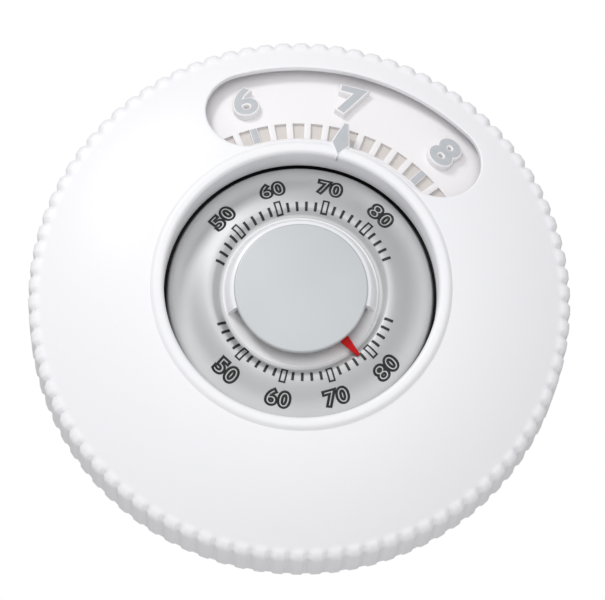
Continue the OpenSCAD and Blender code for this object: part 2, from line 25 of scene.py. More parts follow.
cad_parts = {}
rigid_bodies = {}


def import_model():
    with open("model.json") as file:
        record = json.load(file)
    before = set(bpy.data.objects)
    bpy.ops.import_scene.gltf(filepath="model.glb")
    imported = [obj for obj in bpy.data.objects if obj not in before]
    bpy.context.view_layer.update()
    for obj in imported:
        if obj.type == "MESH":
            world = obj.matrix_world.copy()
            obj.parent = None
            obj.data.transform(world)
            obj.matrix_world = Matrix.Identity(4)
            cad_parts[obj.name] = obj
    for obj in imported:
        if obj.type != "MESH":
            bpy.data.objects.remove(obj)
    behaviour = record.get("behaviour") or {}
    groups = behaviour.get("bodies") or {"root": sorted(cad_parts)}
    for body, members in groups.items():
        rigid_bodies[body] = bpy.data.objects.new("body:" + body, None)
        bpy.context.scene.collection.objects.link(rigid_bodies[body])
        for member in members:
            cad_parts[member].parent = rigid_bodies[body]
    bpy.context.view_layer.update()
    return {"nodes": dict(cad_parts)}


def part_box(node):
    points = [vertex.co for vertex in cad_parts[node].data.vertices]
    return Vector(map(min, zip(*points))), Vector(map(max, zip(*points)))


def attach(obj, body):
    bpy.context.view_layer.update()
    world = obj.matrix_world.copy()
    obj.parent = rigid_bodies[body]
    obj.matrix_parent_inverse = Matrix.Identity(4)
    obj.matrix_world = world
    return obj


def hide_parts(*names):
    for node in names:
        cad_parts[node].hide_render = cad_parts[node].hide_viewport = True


LOG = logging.getLogger("thermostat")
MM = 0.001
STAND = Matrix.Rotation(pi / 2, 4, "X") @ Matrix.Scale(MM, 4)
# Corners closer than this are merged
WELD_MM = 0.002
# A corner this near a line counts as on it, in millimetres or degrees
NEAR = 0.01
# Which of its finishes a face has: grey painted reflection on the set pointer's face, bare plastic on
# the dial and the hub, and on the scale plate painted shade in the sunken pockets and grey painted
# reflection on the raised tops
PLAIN, FACE_REFLECTION, BARE, POCKET, TOP_REFLECTION = 0, 1, 1, 1, 2

Point = tuple[float, float]
Profile = Sequence[Point]


# ---- Materials ----

def linear(code: str) -> tuple[float, float, float, float]:
    """Turns an sRGB hex colour into linear light.

    Args:
        code: Six hex digits, such as "f2f2f4".

    Returns:
        Red, green, blue and an alpha of 1.
    """
    parts = [int(code[i:i + 2], 16) / 255 for i in (0, 2, 4)]
    red, green, blue = (p / 12.92 if p <= 0.04045 else ((p + 0.055) / 1.055) ** 2.4 for p in parts)
    return red, green, blue, 1.0


def add_node(tree: NodeTree, kind: str, settings: dict[str, Any] | None = None,
             links: dict[Any, NodeSocket] | None = None) -> Node:
    """Adds a shader node with its settings and its incoming links.

    Args:
        tree: The material's node tree.
        kind: The node's type, such as "ShaderNodeTexNoise".
        settings: Values by property name, or by input name or number.
        links: Output sockets by the name or number of the input they feed.

    Returns:
        The new node.
    """
    node = tree.nodes.new(kind)
    for name, value in (settings or {}).items():
        if isinstance(name, str) and hasattr(node, name):
            setattr(node, name, value)
        else:
            node.inputs[name].default_value = value
    for name, socket in (links or {}).items():
        tree.links.new(socket, node.inputs[name])
    return node


@dataclass(frozen=True)
class Finish:
    """A real material and how its surface was made.

    The colour drifts slowly between two near shades, and a fine grain gives bump and gloss variation.
    """

    name: str
    slot: str
    colour: str
    shade: str
    roughness: float
    rough_spread: float = 0.05
    drift_mm: float = 30.0
    grain_mm: float = 0.5
    bump_mm: float = 0.004
    metallic: float = 0.0
    ior: float = 1.5
    coat: float = 0.0
    stretch: tuple[float, float, float] = (1.0, 1.0, 1.0)

    def material(self) -> Material:
        """Returns the material, made once however many pieces wear it."""
        return bpy.data.materials.get(self.name) or self.build()

    def build(self) -> Material:
        """Makes the material's nodes.

        Returns:
            The new material.
        """
        material = bpy.data.materials.new(self.name)
        material.use_nodes = True
        tree = material.node_tree
        shader = next(n for n in tree.nodes if n.type == "BSDF_PRINCIPLED")
        place = add_node(tree, "ShaderNodeTexCoord").outputs["Object"]
        grain_place = add_node(tree, "ShaderNodeMapping", {"Scale": self.stretch},
                               {"Vector": place}).outputs["Vector"]
        drift = add_node(tree, "ShaderNodeTexNoise", {"Scale": 1 / (self.drift_mm * MM), "Detail": 3.0},
                         {"Vector": place}).outputs["Fac"]
        grain = add_node(tree, "ShaderNodeTexNoise", {"Scale": 1 / (self.grain_mm * MM), "Detail": 2.0},
                         {"Vector": grain_place}).outputs["Fac"]
        colour = self.paint(tree, place, drift)
        rough = add_node(tree, "ShaderNodeMapRange", {"To Min": self.roughness - self.rough_spread,
                          "To Max": self.roughness + self.rough_spread}, {"Value": drift})
        bump = add_node(tree, "ShaderNodeBump", {"Distance": self.bump_mm * MM},
                        {"Height": self.relief(tree, place, grain)})
        tree.links.new(colour, shader.inputs["Base Color"])
        tree.links.new(rough.outputs["Result"], shader.inputs["Roughness"])
        tree.links.new(bump.outputs["Normal"], shader.inputs["Normal"])
        shader.inputs["Metallic"].default_value = self.metallic
        shader.inputs["IOR"].default_value = self.ior
        shader.inputs["Coat Weight"].default_value = self.coat
        return material

    def paint(self, tree: NodeTree, place: NodeSocket, drift: NodeSocket) -> NodeSocket:
        """Returns the base colour: a slow drift between the two shades."""
        return self.blend(tree, drift, self.colour, self.shade)

    def relief(self, tree: NodeTree, place: NodeSocket, grain: NodeSocket) -> NodeSocket:
        """Returns the height that the bump follows: the grain alone."""
        return grain

    @staticmethod
    def blend(tree: NodeTree, factor: NodeSocket, first: Any, second: Any) -> NodeSocket:
        """Mixes two colours.

        Args:
            tree: The material's node tree.
            factor: How much of the second colour shows.
            first: A hex colour or a colour socket.
            second: A hex colour or a colour socket.

        Returns:
            The mixed colour.
        """
        node = add_node(tree, "ShaderNodeMix", {"data_type": "RGBA"}, {0: factor})
        for index, value in ((6, first), (7, second)):
            if isinstance(value, str):
                node.inputs[index].default_value = linear(value)
            else:
                tree.links.new(value, node.inputs[index])
        return node.outputs[2]


@dataclass(frozen=True)
class BoardFinish(Finish):
    """Glass-fibre board under solder mask, whose copper tracks show as lighter lines."""

    track_colour: str = "3f8a4f"
    track_mm: float = 2.4

    def tracks(self, tree: NodeTree, place: NodeSocket) -> NodeSocket:
        """Returns 1 on a copper track and 0 between tracks."""
        bricks = add_node(tree, "ShaderNodeTexBrick",
                          {"Scale": 1 / (self.track_mm * MM), "Mortar Size": 0.09, "Mortar Smooth": 0.0,
                           "Brick Width": 2.6, "Row Height": 1.0, "offset": 0.37},
                          {"Vector": add_node(tree, "ShaderNodeMapping",
                                              {"Rotation": (pi / 2, 0.0, 0.0)},
                                              {"Vector": place}).outputs["Vector"]})
        return bricks.outputs["Fac"]

    def paint(self, tree: NodeTree, place: NodeSocket, drift: NodeSocket) -> NodeSocket:
        """Returns the mask's green with the tracks showing through."""
        mask = self.blend(tree, drift, self.colour, self.shade)
        return self.blend(tree, self.tracks(tree, place), mask, self.track_colour)

    def relief(self, tree: NodeTree, place: NodeSocket, grain: NodeSocket) -> NodeSocket:
        """Returns the height of the tracks under the mask."""
        return self.tracks(tree, place)


# What smooth mouldings share, and what plated or rolled metals share
moulded = partial(Finish, bump_mm=0.002)
metal = partial(Finish, drift_mm=3, metallic=1.0)

# ABS from a lightly textured mould: cool white, soft broad highlights, a faint grain.
WHITE_ABS = moulded("white_moulded_abs", "white_abs", "f1f1f4", "eeeef2", 0.42, drift_mm=45, grain_mm=0.35)
# The same ABS behind the window: a shade warmer and duller.
SCALE_ABS = moulded("scale_moulded_abs", "scale_abs", "f2f0f1", "eeecee", 0.5, grain_mm=0.3)
# Grey paint on the raised flat faces, a painted reflection of grey surroundings: matt, with a slight
# mottle.
GREY_REFLECTION_PAINT = Finish("grey_painted_reflection", "hub_grey", "bfc3c7", "b6babf", 0.5, drift_mm=3, grain_mm=0.25)
# Beige-grey painted shade in the sunken pockets of the scale, between the ribs.
POCKET_SHADE_PAINT = Finish("pocket_painted_shade", "scale_abs", "d9d4d0", "cdc8c4", 0.6, drift_mm=4, grain_mm=0.3)
# ABS sprayed with fine silver paint: a soft metal sheen with a fine sparkle.
SILVER_PAINT = Finish("silver_sprayed_abs", "silver_dial", "c4c5c6", "bcbdbe", 0.5, drift_mm=20,
                      grain_mm=0.12, bump_mm=0.003, metallic=0.55)
# Matt silver-grey paint on the hub: flat and even.
HUB_PAINT = Finish("hub_sprayed_abs", "hub_grey", "c3c6c8", "bec1c4", 0.42, drift_mm=16, grain_mm=0.14,
                   bump_mm=0.003, metallic=0.2)
# The hub's bare white flank, glossier than the ring.
FLANK_ABS = moulded("hub_flank_abs", "hub_grey", "eeeef1", "e9eaed", 0.3, drift_mm=20, grain_mm=0.3)
# Bare pale ABS on the ramp inside the dial's groove.
RAMP_ABS = moulded("dial_ramp_abs", "silver_dial", "efeeef", "e9e8ea", 0.45, drift_mm=12, grain_mm=0.3)
# Black screen-printing ink: nearly matt, slightly raised.
BLACK_INK = Finish("black_screen_print", "black_nylon", "161616", "1d1d1d", 0.45, drift_mm=3, grain_mm=0.2)
# Red enamel on thin brass.
RED_ENAMEL = Finish("red_enamel", "pointer_red", "c00006", "ac0005", 0.6, drift_mm=5, grain_mm=0.4,
                    ior=1.3)
# Unpainted ABS inside, from a plain mould.
CHASSIS_ABS = Finish("grey_moulded_abs", "chassis_abs", "dcdddf", "d3d4d7", 0.55, grain_mm=0.6,
                     bump_mm=0.01)
WALL_ABS = Finish("wall_plate_moulded_abs", "wall_plate_abs", "d8d9db", "cfd0d3", 0.55, grain_mm=0.7,
                  bump_mm=0.012)
# Glass-filled nylon: near black, with a dry fibre grain.
BLACK_NYLON = Finish("black_glass_filled_nylon", "black_nylon", "1b1b1d", "242427", 0.6, drift_mm=8,
                     grain_mm=0.5, bump_mm=0.012)
# Natural acetal: creamy white and slippery.
ACETAL = Finish("natural_acetal", "natural_acetal", "e9e4d4", "e2dccb", 0.38, grain_mm=0.5)
# Zinc-plated steel: bright with a bluish passivation that drifts in tint.
ZINC = metal("zinc_plated_steel", "zinc_steel", "c3c6cb", "b4b9c4", 0.32, grain_mm=0.2)
# Hard-rolled spring steel: a grain drawn out along the strip.
SPRING = metal("rolled_spring_steel", "spring_steel", "b6b7ba", "a6a8ac", 0.28, drift_mm=4, grain_mm=0.3,
               stretch=(1.0, 8.0, 1.0))
BRASS = metal("stamped_brass", "brass", "d2b06a", "c39f58", 0.3, grain_mm=0.3)
# Rolled bimetal strip: brass-toned with a fine grain along its length.
BIMETAL = metal("rolled_bimetal", "bimetal", "b59d78", "a08a6a", 0.35, grain_mm=0.25,
                stretch=(1.0, 6.0, 1.0))
BOARD = BoardFinish("solder_masked_board", "board_green", "1f5a35", "23643b", 0.3, drift_mm=12,
                    bump_mm=0.03, coat=0.5)
RELAY_BLUE = Finish("relay_moulded_pbt", "relay_blue", "255f9e", "1f5691", 0.5, drift_mm=6, grain_mm=0.4)
# Moulding compound round a chip: dark and matt with a fine spark-eroded grain.
CHIP = Finish("epoxy_moulding_compound", "chip_black", "222224", "2a2a2d", 0.65, drift_mm=3, grain_mm=0.25,
              bump_mm=0.01)
BEAD = Finish("glazed_bead", "bead_brown", "7d3326", "6a2a20", 0.15, drift_mm=1, grain_mm=0.6, coat=0.6)
# Painted plaster floor.
FLOOR_PAINT = Finish("pale_floor_paint", "white_abs", "f4f4f4", "f0f0f0", 0.8, drift_mm=300, grain_mm=4)

NODE_FINISHES: dict[str, Finish] = {node: finish for nodes, finish in (
    ("wall_plate", WALL_ABS), ("terminal_block potentiometer_body drive_ring", BLACK_NYLON),
    ("terminal_clips terminal_screws contact_pins coil_post", BRASS), ("chassis", CHASSIS_ABS),
    ("captive_screws board_screws retainer dial_screws scale_screws", ZINC), ("circuit_board", BOARD),
    ("relay", RELAY_BLUE), ("capacitor control_chip resistors", CHIP), ("thermistor", BEAD),
    ("potentiometer_shaft pinion", ACETAL), ("detent_spring", SPRING), ("scale_plate", SCALE_ABS),
    ("set_ring", WHITE_ABS), ("dial_plate", SILVER_PAINT), ("bimetal_coil", BIMETAL),
    ("red_pointer", RED_ENAMEL), ("hub_cap", HUB_PAINT),
) for node in nodes.split()}


# ---- Mesh helpers ----

def clock(r: float, t: float, z: float = 0.0) -> Vector:
    """Returns the point at a radius and a clock angle in degrees."""
    return Vector((r * sin(radians(t)), r * cos(radians(t)), z))


def polar(place: Vector) -> Point:
    """Returns a place's radius and its clock angle in degrees."""
    return hypot(place.x, place.y), degrees(atan2(place.x, place.y))


def turned(t: float) -> Matrix:
    """Returns a turn about the dial's axis by a clock angle in degrees."""
    return Matrix.Rotation(radians(-t), 4, "Z")


def arc(centre: Point, size: Point, start: float, end: float, steps: int) -> list[Point]:
    """Points along an ellipse's arc in a profile.

    Args:
        centre: Centre as radius and height.
        size: Half width and half height.
        start: First angle in degrees, 0 pointing outwards and 90 to the front.
        end: Last angle in degrees.
        steps: Number of segments.

    Returns:
        The points, both ends included.
    """
    angles = [radians(start + (end - start) * i / steps) for i in range(steps + 1)]
    return [(centre[0] + size[0] * cos(a), centre[1] + size[1] * sin(a)) for a in angles]


def smooth(points: Profile, steps: int) -> list[Point]:
    """Points along a smooth curve that passes through the given ones.

    Args:
        points: The stations, as radius and height.
        steps: Number of segments between two stations.

    Returns:
        The points, both ends included.
    """
    line = [Vector(p) for p in (points[0], *points, points[-1])]
    made: list[Point] = []
    for before, here, there, after in zip(line, line[1:], line[2:], line[3:]):
        for i in range(steps):
            u = i / steps
            spot = 0.5 * (2 * here + (there - before) * u
                          + (2 * before - 5 * here + 4 * there - after) * u ** 2
                          + (3 * here - before - 3 * there + after) * u ** 3)
            made.append((spot.x, spot.y))
    return [*made, tuple(points[-1])]


def lathe(profile: Profile, steps: int, sweep: float = 360.0, start: float = 0.0) -> BMesh:
    """Turns a closed profile round the dial's axis.

    Args:
        profile: Corners as radius and height, without repeating the first.
        steps: Number of columns.
        sweep: Angle turned through, in degrees anticlockwise as seen from the front.
        start: Angle of the first column, in degrees anticlockwise from the right.

    Returns:
        A closed mesh.
    """
    bm = bmesh.new()
    verts = [bm.verts.new((r, 0.0, z)) for r, z in profile]
    edges = [bm.edges.new(pair) for pair in zip(verts, verts[1:] + verts[:1])]
    full = sweep == 360.0
    ops.spin(bm, geom=[*verts, *edges], cent=(0, 0, 0), axis=(0, 0, 1), dvec=(0, 0, 0),
                   angle=radians(sweep), steps=steps, use_merge=full, use_duplicate=False)
    ops.remove_doubles(bm, verts=bm.verts, dist=WELD_MM)
    if not full:
        ops.holes_fill(bm, edges=[e for e in bm.edges if e.is_boundary], sides=len(profile) + 2)
        ops.rotate(bm, verts=bm.verts, matrix=Matrix.Rotation(radians(start), 3, "Z"))
    ops.recalc_face_normals(bm, faces=bm.faces)
    return bm


def show(name: str, data: Any) -> Object:
    """Puts a mesh, curve, camera or light in the scene.

    Args:
        name: Name of the object.
        data: What it shows.

    Returns:
        The new object.
    """
    made = bpy.data.objects.new(name, data)
    bpy.context.scene.collection.objects.link(made)
    return made


def absorb(bm: BMesh, other: BMesh) -> None:
    """Adds another mesh to this one and frees it.

    Args:
        bm: The mesh that grows.
        other: The mesh that is added.
    """
    mesh = bpy.data.meshes.new("part")
    other.to_mesh(mesh)
    other.free()
    bm.from_mesh(mesh)
    bpy.data.meshes.remove(mesh)


def block(size: tuple[float, float, float], place: Matrix, bevel: float) -> BMesh:
    """A block with rounded edges.

    Args:
        size: Width, depth and height, in millimetres.
        place: Where its centre goes.
        bevel: Width of the rounding.

    Returns:
        The block's mesh.
    """
    bm = bmesh.new()
    ops.create_cube(bm, size=1.0)
    ops.scale(bm, verts=bm.verts, vec=size)
    ops.bevel(bm, geom=bm.edges, affect="EDGES", offset=bevel, segments=2, profile=0.5, material=-1)
    bm.transform(place)
    return bm


def lettering(text: str, tall: float, wide: float, **settings: Any) -> BMesh:
    """A row of numerals as a mesh, centred on the origin and lying in the xy plane.

    Args:
        text: The numerals.
        tall: Their height in millimetres, once fitted.
        wide: How much they are then widened.
        **settings: Settings of the text curve, such as its font size before the fit, or bevel_depth.

    Returns:
        The numerals' mesh.
    """
    curve = bpy.data.curves.new("numerals", "FONT")
    curve.body = text
    curve.align_x = "CENTER"
    curve.align_y = "CENTER"
    for name, value in settings.items():
        setattr(curve, name, value)
    holder = show("numerals", curve)
    bpy.context.view_layer.update()
    mesh = bpy.data.meshes.new_from_object(holder.evaluated_get(bpy.context.evaluated_depsgraph_get()))
    bm = bmesh.new()
    bm.from_mesh(mesh)
    for leftover, store in ((holder, bpy.data.objects), (curve, bpy.data.curves), (mesh, bpy.data.meshes)):
        store.remove(leftover)
    ops.remove_doubles(bm, verts=bm.verts, dist=WELD_MM)
    middle = [(min(v.co[i] for v in bm.verts) + max(v.co[i] for v in bm.verts)) / 2 for i in (0, 1)]
    ops.translate(bm, verts=bm.verts, vec=(-middle[0], -middle[1], 0.0))
    fit = tall / (max(v.co.y for v in bm.verts) - min(v.co.y for v in bm.verts))
    ops.scale(bm, verts=bm.verts, vec=(fit * wide, fit, 1.0))
    return bm


def publish(bm: BMesh, name: str, finishes: Sequence[Finish], body: str, replaces: Sequence[str] = (),
            crease: float = 32.0, weld: bool = True) -> None:
    """Turns a mesh drawn from the front into a finished piece on its body.

    Args:
        bm: The mesh, in millimetres. It is freed.
        name: The piece's name.
        finishes: Its finishes, by material number.
        body: The body it rides on.
        replaces: The CAD nodes it stands for.
        crease: Edges sharper than this many degrees stay sharp.
        weld: Whether the mesh is one skin whose seams are merged and normals recalculated.
    """
    if weld:
        ops.remove_doubles(bm, verts=bm.verts, dist=WELD_MM)
        ops.recalc_face_normals(bm, faces=bm.faces)
    for face in bm.faces:
        face.smooth = True
    for edge in bm.edges:
        edge.smooth = edge.calc_face_angle(0.0) < radians(crease)
    bm.transform(STAND)
    mesh = bpy.data.meshes.new(name)
    bm.to_mesh(mesh)
    count = sum(len(f.verts) - 2 for f in bm.faces)
    bm.free()
    for finish in finishes:
        mesh.materials.append(finish.material())
    piece = show(name, mesh)
    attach(piece, body)
    if replaces:
        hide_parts(*replaces)
    LOG.info("%s: %d triangles on %s", name, count, body)


# ---- Shared shape of the front ----

@dataclass(frozen=True)
class Dome:
    """The curve of the ring's face, which the scale plate follows below it."""

    in_r: float = 37.3
    in_z: float = 31.0
    out_r: float = 64.8
    out_z: float = 21.8
    crown: float = 1.2

    def height(self, r: float) -> float:
        """Returns the height above the wall at a radius."""
        u = (r - self.in_r) / (self.out_r - self.in_r)
        return self.in_z + (self.out_z - self.in_z) * u + 4 * self.crown * u * (1 - u)

    def slope(self, r: float) -> float:
        """Returns how steeply it falls outwards at a radius, in radians."""
        return atan((self.height(r - 1) - self.height(r + 1)) / 2)

    def line(self, start: float, end: float, drop: float, steps: int) -> list[Point]:
        """Points along the dome.

        Args:
            start: First radius.
            end: Last radius.
            drop: How far below the dome the points lie.
            steps: Number of segments.

        Returns:
            The points, both ends included.
        """
        radii = [start + (end - start) * i / steps for i in range(steps + 1)]
        return [(r, self.height(r) - drop) for r in radii]

    def stand(self, r: float, t: float, drop: float) -> Matrix:
        """Returns the place of something that stands on the slope, its y pointing outwards."""
        return (turned(t) @ Matrix.Translation((0, r, self.height(r) - drop))
                @ Matrix.Rotation(-self.slope(r), 4, "X"))


DOME = Dome()


@dataclass(frozen=True)
class TemperatureScale:
    """How temperatures in degrees Fahrenheit lie on the clock face."""

    middle: float = 65.0
    turn: float = 3.0

    def upper(self, temperature: float) -> float:
        """Returns the clock angle on a scale that reads across the top."""
        return (temperature - self.middle) * self.turn

    def lower(self, temperature: float) -> float:
        """Returns the clock angle on a scale that reads across the bottom."""
        return 180.0 - (temperature - self.middle) * self.turn


SCALE = TemperatureScale()


# ---- Pieces ----

@dataclass
class SetRing:
    """The white ring that turns, with its flutes, its window and its pointer."""

    rim_r: float = field(default_factory=lambda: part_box("set_ring")[1].x / MM)
    rim_back: float = 5.0
    band_r: float = 66.9
    band_z: float = 6.0
    wall: float = 2.3
    corner_rise: float = 2.4
    lip_r: float = 33.9
    lip_z: float = 32.0
    lip_in: Point = (1.1, 1.3)
    lip_out: Point = (1.5, 1.6)
    tube_z: float = 22.4
    tube_out_r: float = 35.3
    skirt_in_r: float = 35.9
    skirt_out_r: float = 37.4
    skirt_z: float = 18.5
    groove_top: float = 27.0
    flutes: int = 90
    flute_depth: float = 0.85
    flute_half: float = 1.3
    flute_fade: float = 0.6
    flute_columns: tuple[float, ...] = (0.0, 0.15, 0.65, 1.2, 1.4, 1.8)
    corner_rows: int = 8
    set_angle: float = 16.5
    window_r: float = 48.6
    window_half: float = 10.7
    window_reach: float = 30.5
    window_edge: float = 0.5
    patch_from: int = -8
    patch_to: int = 16
    patch_rows: int = 12
    patch_out_r: float = 64.0

    def per_flute(self) -> int:
        """Returns the number of mesh columns in one flute's pitch."""
        return 2 * len(self.flute_columns)

    def column_angle(self, column: int) -> float:
        """Clock angle of a mesh column, which crowd together at the flutes' edges.

        Args:
            column: Number of the column, 0 at the top.

        Returns:
            Its angle in degrees.
        """
        count = self.per_flute()
        flute, part = divmod(column, count)
        pitch = 2 * pi * self.rim_r / self.flutes
        offsets = [*self.flute_columns, pitch / 2]
        offset = offsets[part] if part < len(offsets) else pitch - offsets[count - part]
        return (flute * 360 / self.flutes) + degrees(offset / self.rim_r)

    def profile(self) -> list[Point]:
        """Returns the ring's closed section, from its back edge round the front."""
        under_r = DOME.out_r - 1
        corner = (DOME.out_r, DOME.out_z - self.corner_rise)
        rim_in = self.rim_r - self.wall
        return [
            (rim_in, self.rim_back), (self.band_r - 0.3, self.rim_back), (self.band_r, self.rim_back + 0.3),
            (self.band_r, self.band_z), (self.rim_r, self.band_z + 0.3),
            *arc(corner, (self.rim_r - DOME.out_r, self.corner_rise), 0, 90, self.corner_rows),
            *reversed(DOME.line(DOME.in_r, self.patch_out_r, 0, self.patch_rows)),
            *arc((DOME.in_r - self.lip_out[0], self.lip_z - self.lip_out[1]), self.lip_out, 45, 90, 4),
            *arc((self.lip_r + self.lip_in[0], self.lip_z - self.lip_in[1]), self.lip_in, 90, 180, 7),
            (self.lip_r, self.tube_z), (self.tube_out_r, self.tube_z), (self.tube_out_r, self.groove_top),
            (self.skirt_in_r, self.groove_top), (self.skirt_in_r, self.skirt_z),
            (self.skirt_out_r, self.skirt_z),
            *DOME.line(self.skirt_out_r, under_r, self.wall, self.patch_rows),
            (rim_in, corner[1] - 1),
        ]

    def shape_rim(self, bm: BMesh) -> None:
        """Moves the mesh columns to their angles and sinks the flutes into the rim.

        Args:
            bm: The turned ring.
        """
        columns = self.flutes * self.per_flute()
        corner = Vector((DOME.out_r, DOME.out_z - self.corner_rise))
        reach = Vector((self.rim_r - DOME.out_r, self.corner_rise))
        for vert in bm.verts:
            r, even_t = polar(vert.co)
            t = self.column_angle(round(even_t * columns / 360))
            z = vert.co.z
            if r > self.rim_r - 0.1 or z > corner.y and r > corner.x - 0.01:
                up = atan2(max(0.0, z - corner.y) / reach.y, (r - corner.x) / reach.x)
                share = up / (pi / 2)
                across = radians((t + 180 / self.flutes) % (360 / self.flutes) - 180 / self.flutes) * r
                fade = min(1.0, (1 - share) / (1 - self.flute_fade))
                depth = self.flute_depth * fade * max(0.0, 1 - abs(across) / self.flute_half)
                r -= depth * cos(up)
                z -= depth * sin(up)
            vert.co = clock(r, t, z)

    def perimeter(self, inner: float, outer: float) -> list[Point]:
        """The border of the part of the face that the window is cut in.

        Args:
            inner: Its inner radius.
            outer: Its outer radius.

        Returns:
            Radius and clock angle of each point, clockwise from its left outer corner.
        """
        first, last = (n * self.per_flute() for n in (self.patch_from, self.patch_to))
        rows = [inner + (outer - inner) * i / self.patch_rows for i in range(self.patch_rows + 1)]
        return [
            *((outer, self.column_angle(c)) for c in range(first, last)),
            *((r, self.column_angle(last)) for r in rows[:0:-1]),
            *((inner, self.column_angle(c)) for c in range(last, first, -1)),
            *((r, self.column_angle(first)) for r in rows[:-1]),
        ]

    def outline(self, grow: float) -> list[Vector]:
        """The window's outline, a bent slot, with one point for each point of the perimeter.

        Args:
            grow: How far outside the window's edge it lies.

        Returns:
            The points, clockwise from the middle of the left end's outer quarter.
        """
        half = self.window_half + grow
        left, right = self.set_angle - self.window_reach, self.set_angle + self.window_reach
        long_count = (self.patch_to - self.patch_from) * self.per_flute()
        quarter = pi / 4 * half

        def end(t: float, direction: float) -> Vector:
            """Returns a point on an end's circle."""
            return clock(self.window_r, t) + clock(half, direction)

        def side(r: float, start: float, finish: float, outwards: float) -> list[Vector]:
            """Returns the points of a long side with an eighth of a circle at each end."""
            span = radians(abs(finish - start)) * r
            points = []
            for i in range(long_count):
                s = i / long_count * (span + 2 * quarter)
                if s < quarter:
                    points.append(end(start, start + outwards - 45 * (1 - s / quarter)))
                elif s < quarter + span:
                    points.append(clock(r, start + (finish - start) * (s - quarter) / span))
                else:
                    points.append(end(finish, finish + outwards + 45 * (s - quarter - span) / quarter))
            return points

        rows = range(self.patch_rows)
        return [
            *side(self.window_r + half, left, right, 0.0),
            *(end(right, right + 45 + 90 * i / self.patch_rows) for i in rows),
            *side(self.window_r - half, right, left, 180.0),
            *(end(left, left + 225 + 90 * i / self.patch_rows) for i in rows),
        ]

    def cut_face(self, bm: BMesh) -> None:
        """Takes the window's part of the face out of the ring.

        Args:
            bm: The fluted ring.
        """
        start, finish = (n * 360 / self.flutes for n in (self.patch_from, self.patch_to))
        skins = ((0.0, DOME.in_r, self.patch_out_r), (self.wall, self.skirt_out_r, DOME.out_r - 1))

        def on_skin(vert: BMVert, drop: float, inner: float, outer: float) -> bool:
            """Returns whether a corner lies on a skin inside the window's part."""
            r, t = polar(vert.co)
            return (inner - NEAR < r < outer + NEAR and start - NEAR < t < finish + NEAR
                    and abs(vert.co.z - DOME.height(r) + drop) < NEAR)

        gone = [f for f in bm.faces if any(all(on_skin(v, *skin) for v in f.verts) for skin in skins)]
        ops.delete(bm, geom=gone, context="FACES")

    def window_rings(self) -> list[list[Vector]]:
        """The loops of the skin between the perimeter and the window's inner wall.

        Returns:
            Loops of equal length, from the front perimeter over the rounded edge to the back one.
        """
        def raised(points: Sequence[Vector], drop: float) -> list[Vector]:
            """Returns the points at the dome's height less a drop."""
            return [Vector((p.x, p.y, DOME.height(polar(p)[0]) - drop)) for p in points]

        border = [clock(r, t) for r, t in self.perimeter(DOME.in_r, self.patch_out_r)]
        edge = self.outline(self.window_edge)
        rings = [raised([b.lerp(e, share) for b, e in zip(border, edge)], 0.0)
                 for share in (0, 0.4, 0.75, 1)]
        for tilt in (18, 36, 54, 72, 90):
            a = radians(tilt)
            rings.append(raised(self.outline(self.window_edge * (1 - sin(a))),
                                self.window_edge * (1 - cos(a))))
        rings.append(raised(self.outline(0.0), self.wall))
        back = [clock(r, t) for r, t in self.perimeter(self.skirt_out_r, DOME.out_r - 1)]
        rings.append(raised(back, self.wall))
        return rings

    def loft(self, bm: BMesh, rings: Sequence[Sequence[Vector]]) -> None:
        """Draws a skin through loops by extruding each from the one before.

        Args:
            bm: The mesh that the skin is added to.
            rings: Loops of equal length.
        """
        verts: list[BMVert] = ops.create_circle(bm, segments=len(rings[0]), radius=1.0)["verts"]
        chosen = set(verts)
        edges: list[BMEdge] = [e for e in bm.edges if e.verts[0] in chosen and e.verts[1] in chosen]
        for vert, place in zip(verts, rings[0]):
            vert.co = place
        for ring in rings[1:]:
            made = ops.extrude_edge_only(bm, edges=edges)["geom"]
            fresh = {v for v in made if isinstance(v, BMVert)}
            verts = [next(o for e in v.link_edges if (o := e.other_vert(v)) in fresh) for v in verts]
            edges = [e for e in made if isinstance(e, BMEdge)]
            for vert, place in zip(verts, ring):
                vert.co = place

    def build_ring(self) -> None:
        """Makes the ring itself, in place of its CAD solid."""
        bm = lathe(self.profile(), self.flutes * self.per_flute())
        self.shape_rim(bm)
        self.cut_face(bm)
        self.loft(bm, self.window_rings())
        publish(bm, "set_ring_shell", [WHITE_ABS], "set_ring", ["set_ring"])

    def build_pointer(self) -> None:
        """Makes the pointer moulded across the window's lower edge, its flat face painted grey as a painted
        reflection.
        """
        tip_r, corner_r, foot_r, half, tip_half, thick = 44.8, 38.0, 34.2, 2.45, 0.7, 2.6
        bm = bmesh.new()
        corners = [(-tip_half, tip_r), (-half, corner_r), (0.0, foot_r), (half, corner_r),
                   (tip_half, tip_r)]
        face = bm.faces.new([bm.verts.new((x, y, 0.0)) for x, y in corners])
        ops.recalc_face_normals(bm, faces=[face])
        if face.normal.z < 0:
            face.normal_flip()
        made = ops.extrude_face_region(bm, geom=[face])["geom"]
        ops.translate(bm, verts=[v for v in made if isinstance(v, BMVert)], vec=(0, 0, thick))
        ops.recalc_face_normals(bm, faces=bm.faces)
        top = [e for e in bm.edges if all(v.co.z > thick / 2 for v in e.verts)]
        ops.bevel(bm, geom=top, affect="EDGES", offset=0.4, segments=1, profile=0.5, material=-1)
        for f in bm.faces:
            # The flat top face is painted grey as a painted reflection.
            f.material_index = FACE_REFLECTION if f.normal.z > 0.99 else PLAIN
        foot_z, fall = self.lip_z + 0.59, 0.301
        lean = atan(fall)
        place = (turned(self.set_angle) @ Matrix.Translation((0, foot_r, foot_z))
                 @ Matrix.Rotation(-lean, 4, "X")
                 @ Matrix.Translation((0, -foot_r, -thick)))
        bm.transform(place)
        absorb(bm, self.ridge())
        publish(bm, "set_pointer", [WHITE_ABS, GREY_REFLECTION_PAINT], "set_ring", crease=20, weld=False)

